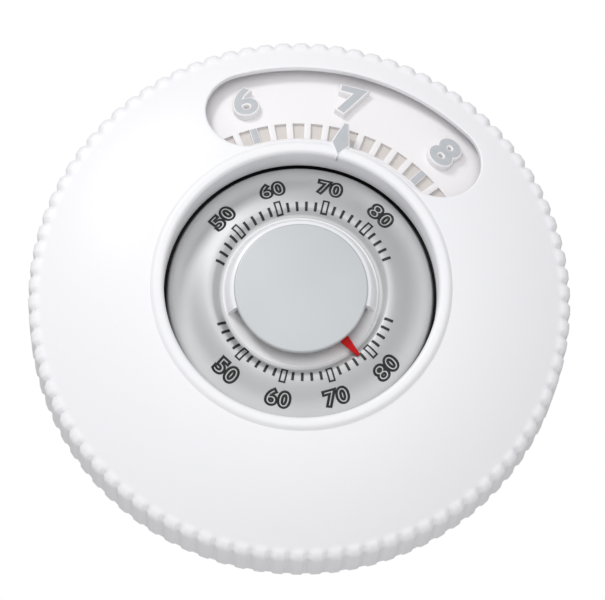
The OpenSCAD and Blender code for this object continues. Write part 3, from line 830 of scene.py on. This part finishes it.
    def ridge(self) -> BMesh:
        """The thin ridge that carries the pointer's foot over the lip.

        Returns:
            The ridge's mesh.
        """
        half, sunk = 0.6, 0.9
        path = [((35.7, 32.0), 90.0), ((35.0, 32.3), 90.0), ((34.2, 32.2), 115.0), ((33.5, 31.8), 135.0),
                ((33.2, 30.9), 165.0), ((33.75, 29.4), 180.0)]
        bm = bmesh.new()

        def section(point: Point, facing: float) -> list[Vector]:
            """Returns the ridge's three corners at a point of its path."""
            out = Vector((cos(radians(facing)), sin(radians(facing))))
            base = Vector(point) - out * sunk
            return [Vector((-half, base.x, base.y)), Vector((0, point[0], point[1])),
                    Vector((half, base.x, base.y))]

        verts = [bm.verts.new(p) for p in section(*path[0])]
        face = bm.faces.new(verts)
        for step in path[1:]:
            made = ops.extrude_face_region(bm, geom=[face])["geom"]
            fresh = [v for v in made if isinstance(v, BMVert)]
            face = next(f for f in made if isinstance(f, BMFace))
            for vert, place in zip(sorted(fresh, key=lambda v: v.co.x), section(*step)):
                vert.co = place
        ops.recalc_face_normals(bm, faces=bm.faces)
        ops.rotate(bm, verts=bm.verts, matrix=Matrix.Rotation(radians(-self.set_angle), 3, "Z"))
        return bm

    def build(self) -> None:
        """Makes the ring and its pointer."""
        self.build_ring()
        self.build_pointer()


@dataclass
class ScalePlate:
    """The fixed plate behind the window, with its pockets, ribs and raised numerals."""

    in_r: float = 38.1
    out_r: float = 64.0
    thick: float = 1.5
    back: float = field(default_factory=lambda: -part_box("scale_plate")[1].y / MM)
    drop: float = 4.8
    trim: float = 1.0
    band_in_r: float = 39.8
    band_out_r: float = 44.2
    band_depth: float = 0.8
    band_step: float = 0.06
    rib_w: float = 1.7
    rib_tall: float = 1.6
    rib_sunk: float = 0.72
    rib_over: float = 0.3
    rib_bevel: float = 0.18
    tens_wider: float = 1.2
    low: int = 40
    high: int = 90
    digit_r: float = 51.4
    digit_h: float = 9.4
    digit_rise: float = 1.9
    digit_wide: float = 1.12
    # How much bolder than the typeface each numeral is. The 6 tears beyond this.
    digit_bold: dict[int, float] = field(default_factory=lambda: {5: 0.42, 6: 0.26, 7: 0.45, 8: 0.42})

    def profile(self) -> list[Point]:
        """Returns the plate's closed section, with close rows at the band's two walls."""
        step = self.band_step
        return [
            (self.in_r, self.back),
            *DOME.line(self.in_r, self.band_in_r, self.drop, 1),
            *DOME.line(self.band_in_r + step, self.band_out_r - step, self.drop, 4),
            *DOME.line(self.band_out_r, self.out_r, self.drop, 10),
            (self.out_r, self.back), (self.out_r - self.thick, self.back),
            *DOME.line(self.out_r - self.thick, self.in_r + self.thick, self.drop + self.thick, 10),
            (self.in_r + self.thick, self.back),
        ]

    def sink_band(self, bm: BMesh) -> None:
        """Lowers the band that the ribs stand in, over the range of the scale.

        Args:
            bm: The turned plate.
        """
        limit = SCALE.upper(self.high)
        for vert in bm.verts:
            r, t = polar(vert.co)
            front = abs(vert.co.z - DOME.height(r) + self.drop) < NEAR
            inside = self.band_in_r + NEAR < r < self.band_out_r - NEAR
            if front and inside and abs(t - self.trim) < limit:
                vert.co.z -= self.band_depth
        # Faces sunk in the band between the ribs get beige-grey painted shade.
        for face in bm.faces:
            middle = face.calc_center_median()
            r = polar(middle)[0]
            sunk = DOME.height(r) - self.drop - middle.z
            if self.band_in_r + 0.1 < r < self.band_out_r - 0.1 and 0.5 < sunk < 1.0:
                face.material_index = POCKET

    def build(self) -> None:
        """Makes the plate, its ribs and its numerals as one piece, in place of the CAD solid."""
        bm = lathe(self.profile(), 720)
        self.sink_band(bm)
        ops.recalc_face_normals(bm, faces=bm.faces)
        middle_r = (self.band_in_r + self.band_out_r) / 2
        length = self.band_out_r - self.band_in_r + self.rib_over
        for temperature in range(self.low, self.high + 1, 2):
            tens = temperature % 10 == 0
            place = DOME.stand(middle_r, SCALE.upper(temperature) + self.trim, self.drop)
            rib = block((self.rib_w * (self.tens_wider if tens else 1.0), length, self.rib_tall),
                        place @ Matrix.Translation((0, 0, -self.rib_sunk)), self.rib_bevel)
            if tens:
                for face in rib.faces:
                    # Broad tops of the tens ribs are painted grey as a painted reflection.
                    face.material_index = TOP_REFLECTION if face.normal.z > 0.9 and face.calc_area() > 2 else PLAIN
            absorb(bm, rib)
        for temperature in (50, 60, 70, 80):
            absorb(bm, self.numeral(temperature))
        publish(bm, "scale_plate_front", [SCALE_ABS, POCKET_SHADE_PAINT, GREY_REFLECTION_PAINT], "case", ["scale_plate"],
                weld=False)

    def numeral(self, temperature: int) -> BMesh:
        """One raised numeral, its flat top painted grey as a painted reflection.

        Args:
            temperature: The temperature, whose tens it shows.

        Returns:
            The numeral's mesh.
        """
        edge, extrude = 0.4, 0.95
        digit = temperature // 10
        bm = lettering(str(digit), self.digit_h, self.digit_wide, size=12.4, extrude=extrude,
                       bevel_depth=edge, bevel_resolution=2, offset=self.digit_bold[digit],
                       resolution_u=16)
        bm.normal_update()
        for face in bm.faces:
            # The numeral's flat top is painted grey as a painted reflection.
            face.material_index = TOP_REFLECTION if face.normal.z > 0.99 else PLAIN
        place = DOME.stand(self.digit_r, SCALE.upper(temperature) + self.trim, self.drop)
        bm.transform(place @ Matrix.Translation((0, 0, self.digit_rise - edge - extrude)))
        return bm


@dataclass
class Dial:
    """The silver dial with its printed thermometer scales."""

    out_r: float = field(default_factory=lambda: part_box("dial_plate")[1].x / MM + 0.2)
    edge_z: float = 21.3
    crest_z: float = 25.7
    thick: float = 1.3
    groove_r: float = 20.4
    slot_r: float = 19.1
    slot_fall: float = 1.3
    ramp: tuple[Point, ...] = ((18.2, 1.55), (17.2, 1.85), (16.3, 2.25), (15.2, 2.8))
    ramp_foot_r: float = 14.0
    floor_back: float = 20.9
    floor_front: float = 22.4
    dish: tuple[Point, ...] = ((19.3, 1.25), (19.7, 1.3), (20.2, 1.2), (20.7, 0.85), (21.2, 0.45),
                               (21.8, 0.12), (22.5, 0.05), (23.2, 0.12), (24.0, 0.32), (25.0, 0.66),
                               (26.0, 1.05), (27.0, 1.45), (28.0, 1.8), (29.0, 2.06), (30.0, 2.24),
                               (31.0, 2.36), (32.0, 2.5), (32.8, 2.85))
    shift: float = 0.9
    tick_r: float = 22.1
    tick_size: Point = (0.68, 2.3)
    box_r: float = 22.4
    box_size: Point = (1.75, 3.7)
    box_line: float = 0.42
    digit_h: float = 4.6
    digit_wide: float = 1.15
    digit_r: float = 27.9
    ink: float = 0.07

    def front(self) -> list[Point]:
        """Returns the front's points from the slot outwards, on a smooth curve through the dish."""
        return smooth([*((r, self.crest_z - fall) for r, fall in self.dish), (self.out_r, self.edge_z)], 4)

    def profile(self) -> list[Point]:
        """Returns the dial's closed section."""
        front = self.front()
        inside = self.out_r - self.thick
        return [
            (0.0, self.floor_back), (self.groove_r, self.floor_back), (self.groove_r, self.crest_z - 2.4),
            *((r, z - self.thick) for r, z in front if self.groove_r + 1.8 < r < inside),
            (inside, self.edge_z - 0.2), (inside, self.edge_z - 1.1), (self.out_r, self.edge_z - 1.1),
            *reversed(front), (self.slot_r, self.crest_z - self.slot_fall),
            *((r, self.crest_z - fall) for r, fall in self.ramp), (self.ramp_foot_r, self.floor_front),
            (0.0, self.floor_front),
        ]

    def surface(self, r: float) -> float:
        """Height of the front at a radius, from the profile's own points.

        Args:
            r: A radius outside the slot.

        Returns:
            The height above the wall.
        """
        front = self.front()
        for (r0, z0), (r1, z1) in zip(front, front[1:]):
            if r0 <= r <= r1:
                return z0 + (z1 - z0) * (r - r0) / max(1e-9, r1 - r0)
        return self.edge_z

    def lay(self, bm: BMesh, thickness: float = 1.0) -> None:
        """Drops flat print on to the dial's curved face.

        Args:
            bm: Print drawn in the xy plane, its own thickness round z = 0.
            thickness: How much of its thickness it keeps.
        """
        for vert in bm.verts:
            vert.co.x += self.shift
            vert.co.z = self.surface(polar(vert.co)[0]) + vert.co.z * thickness + self.ink * 0.3

    def bar(self, size: Point, place: Matrix, hollow: float = 0.0) -> BMesh:
        """A printed bar, solid or drawn as an outline.

        Args:
            size: Its width and its length.
            place: Where its middle goes.
            hollow: Width of the outline, or 0 for a solid bar.

        Returns:
            The bar's mesh, as thick as the ink.
        """
        bm = bmesh.new()
        ops.create_grid(bm, x_segments=1, y_segments=1, size=0.5)
        ops.scale(bm, verts=bm.verts, vec=(*size, 1.0))
        if hollow:
            outer = list(bm.faces)
            ops.inset_region(bm, faces=outer, thickness=hollow, use_even_offset=True, use_boundary=True)
            ops.delete(bm, geom=outer, context="FACES")
        lines = [e for e in bm.edges if e.calc_length() > 1]
        ops.subdivide_edges(bm, edges=lines, cuts=4, use_grid_fill=True)
        made = ops.extrude_face_region(bm, geom=bm.faces[:])["geom"]
        ops.translate(bm, verts=[v for v in made if isinstance(v, BMVert)], vec=(0, 0, self.ink))
        ops.recalc_face_normals(bm, faces=bm.faces)
        bm.transform(place)
        return bm

    def numerals(self, temperature: int, r: float, t: float, turn: float) -> BMesh:
        """A printed temperature, drawn as an outline.

        Args:
            temperature: The temperature.
            r: Radius of its middle.
            t: Clock angle of its middle.
            turn: Clock angle that its top points to.

        Returns:
            The print's mesh.
        """
        bm = lettering(str(temperature), self.digit_h, self.digit_wide, size=5.2, fill_mode="NONE",
                       bevel_depth=0.3, bevel_resolution=0, offset=0.2, space_character=1.14,
                       resolution_u=5)
        bm.transform(Matrix.Translation(clock(r, t)) @ turned(turn))
        self.lay(bm, 0.5)
        return bm

    def build_print(self) -> None:
        """Makes both printed scales."""
        bm = bmesh.new()
        for angle_of, turn in ((SCALE.upper, 0.0), (SCALE.lower, 180.0)):
            for temperature in range(42, 90, 2):
                t = angle_of(temperature)
                major = temperature % 10 == 0
                r = self.box_r if major else self.tick_r
                size, line = (self.box_size, self.box_line) if major else (self.tick_size, 0.0)
                mark = self.bar(size, turned(t) @ Matrix.Translation((0, r, 0)), line)
                self.lay(mark)
                absorb(bm, mark)
                if major:
                    absorb(bm, self.numerals(temperature, self.digit_r, t, t + turn))
        publish(bm, "dial_print", [BLACK_INK], "case", weld=False)

    def build(self) -> None:
        """Makes the dial and its print."""
        bm = lathe(self.profile(), 256)
        for face in bm.faces:
            middle = face.calc_center_median()
            if polar(middle)[0] < self.slot_r + 0.1 and middle.z > self.floor_back + 0.1:
                face.material_index = BARE
        publish(bm, "dial_face", [SILVER_PAINT, RAMP_ABS], "case", ["dial_plate"], crease=50)
        self.build_print()


@dataclass
class Hub:
    """The round cap over the thermometer coil, cut away below for the red pointer."""

    face_r: float = 16.6
    face_z: float = field(default_factory=lambda: -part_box("hub_cap")[0].y / MM)
    thick: float = 1.4
    foot_r: float = 18.95
    foot_in_r: float = 17.3
    foot_z: float = 24.34
    foot_in_z: float = 23.86
    slot_half: float = 73.5
    edge: float = 0.45
    flank: tuple[Point, ...] = ((17.4, 27.7), (18.0, 26.8), (18.5, 25.7))

    def build(self) -> None:
        """Makes the cap, in place of its CAD solid."""
        back = self.face_z - self.thick
        face = [(0.0, back), (self.face_r - 0.3, back), (self.face_r, back + 0.3),
                *arc((self.face_r - self.edge, self.face_z - self.edge), (self.edge, self.edge), 0, 90, 4),
                (0.0, self.face_z)]
        bm = lathe(face, 192)
        sweep = 360 - 2 * self.slot_half
        outside = smooth([(self.face_r - 0.1, self.face_z - self.edge), *self.flank,
                          (self.foot_r, self.foot_z)], 4)
        flank = lathe([(self.face_r - 1.2, self.face_z - 0.5), *outside, (self.foot_in_r, self.foot_in_z),
                       (16.9, 25.2), (self.face_r - 1.2, back)], 144, sweep, 90 - sweep / 2)
        for part in flank.faces:
            part.material_index = BARE
        absorb(bm, flank)
        publish(bm, "hub_cap_shell", [HUB_PAINT, FLANK_ABS], "case", ["hub_cap"], crease=40, weld=False)


# ---- Studio ----

class LightRole(Enum):
    """What a studio light is for."""

    KEY = "key"
    FRONT = "front"


@dataclass(frozen=True)
class Lamp:
    """A round soft light: its place in metres as seen from the front, its size and its power."""

    place: tuple[float, float, float]
    size: float
    power: float


@dataclass
class Studio:
    """The camera, the lights, the pale floor and the white surroundings."""

    azimuth: float = -2.5
    elevation: float = -17.0
    roll: float = -1.75
    distance: float = 1.0
    lens: float = 240.4
    shift: Point = (0.0030, -0.0150)
    aim_z: float = 25.5
    floor_z: float = -0.35
    lights: dict[LightRole, Lamp] = field(default_factory=lambda: {
        LightRole.KEY: Lamp((-0.5, 0.75, 0.85), size=0.35, power=5.0),
        LightRole.FRONT: Lamp((0.0, 0.1, 1.3), size=1.2, power=4.9),
    })

    def camera(self) -> None:
        """Places the camera."""
        a, e = radians(self.azimuth), radians(self.elevation)
        back = Vector((sin(a) * cos(e), -cos(a) * cos(e), sin(e)))
        aim = Vector((0.0, -self.aim_z * MM, 0.0))
        data = bpy.data.cameras.new("camera")
        data.lens = self.lens
        data.sensor_width = 36.0
        data.shift_x, data.shift_y = self.shift
        data.clip_start, data.clip_end = 0.05, 50.0
        camera = show("camera", data)
        turn = back.to_track_quat("Z", "Y").to_matrix().to_4x4()
        camera.matrix_world = (Matrix.Translation(aim + back * self.distance) @ turn
                               @ Matrix.Rotation(radians(self.roll), 4, "Z"))
        bpy.context.scene.camera = camera

    def light(self, role: LightRole) -> None:
        """Places one soft light that faces the dial.

        Args:
            role: Which light.
        """
        plan = self.lights[role]
        data = bpy.data.lights.new(f"{role.value}_light", "AREA")
        data.shape = "DISK"
        data.size = plan.size
        data.energy = plan.power
        spot = Vector((plan.place[0], -plan.place[2], plan.place[1]))
        lamp = show(data.name, data)
        lamp.matrix_world = Matrix.Translation(spot) @ spot.to_track_quat("Z", "Y").to_matrix().to_4x4()

    def floor(self) -> None:
        """Lays the pale floor."""
        bm = bmesh.new()
        ops.create_grid(bm, x_segments=1, y_segments=1, size=4.0)
        ops.translate(bm, verts=bm.verts, vec=(0, 0, self.floor_z))
        mesh = bpy.data.meshes.new("floor")
        bm.to_mesh(mesh)
        bm.free()
        mesh.materials.append(FLOOR_PAINT.material())
        floor = show("floor", mesh)

    def surroundings(self) -> None:
        """Makes the surroundings white to the eye and softer as a light."""
        world = bpy.data.worlds.new("white_room")
        world.use_nodes = True
        tree = world.node_tree
        tree.nodes.clear()
        path = add_node(tree, "ShaderNodeLightPath")
        glow = add_node(tree, "ShaderNodeBackground", {"Color": linear("ffffff"), "Strength": 0.5})
        seen = add_node(tree, "ShaderNodeBackground", {"Color": linear("ffffff"), "Strength": 1.0})
        mixed = add_node(tree, "ShaderNodeMixShader", {}, {0: path.outputs["Is Camera Ray"],
                                                          1: glow.outputs[0], 2: seen.outputs[0]})
        add_node(tree, "ShaderNodeOutputWorld", {}, {"Surface": mixed.outputs[0]})
        bpy.context.scene.world = world
        bpy.context.scene.view_settings.view_transform = "Standard"

    def build(self) -> None:
        """Sets up the whole studio."""
        self.surroundings()
        self.floor()
        for role in LightRole:
            self.light(role)
        self.camera()


@dataclass
class Frame:
    """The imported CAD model. Its shapes stay, and its finishes are set here."""

    nodes: dict[str, Object]

    def dress(self) -> None:
        """Gives every CAD piece its real material."""
        for name, finish in NODE_FINISHES.items():
            mesh = self.nodes[name].data
            if not mesh.materials:
                mesh.materials.append(None)
            for index in range(len(mesh.materials)):
                mesh.materials[index] = finish.material()
            LOG.info("%s: %s", name, finish.name)


def main() -> None:
    """Loads the frame, builds each piece and sets the studio up."""
    logging.basicConfig(level=logging.INFO, format="%(name)s: %(message)s")
    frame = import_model()
    builders: list[Callable[[], None]] = [
        Frame(frame["nodes"]).dress, SetRing().build, ScalePlate().build, Dial().build, Hub().build,
        Studio().build,
    ]
    for build in builders:
        build()


if __name__ == "__main__":
    main()
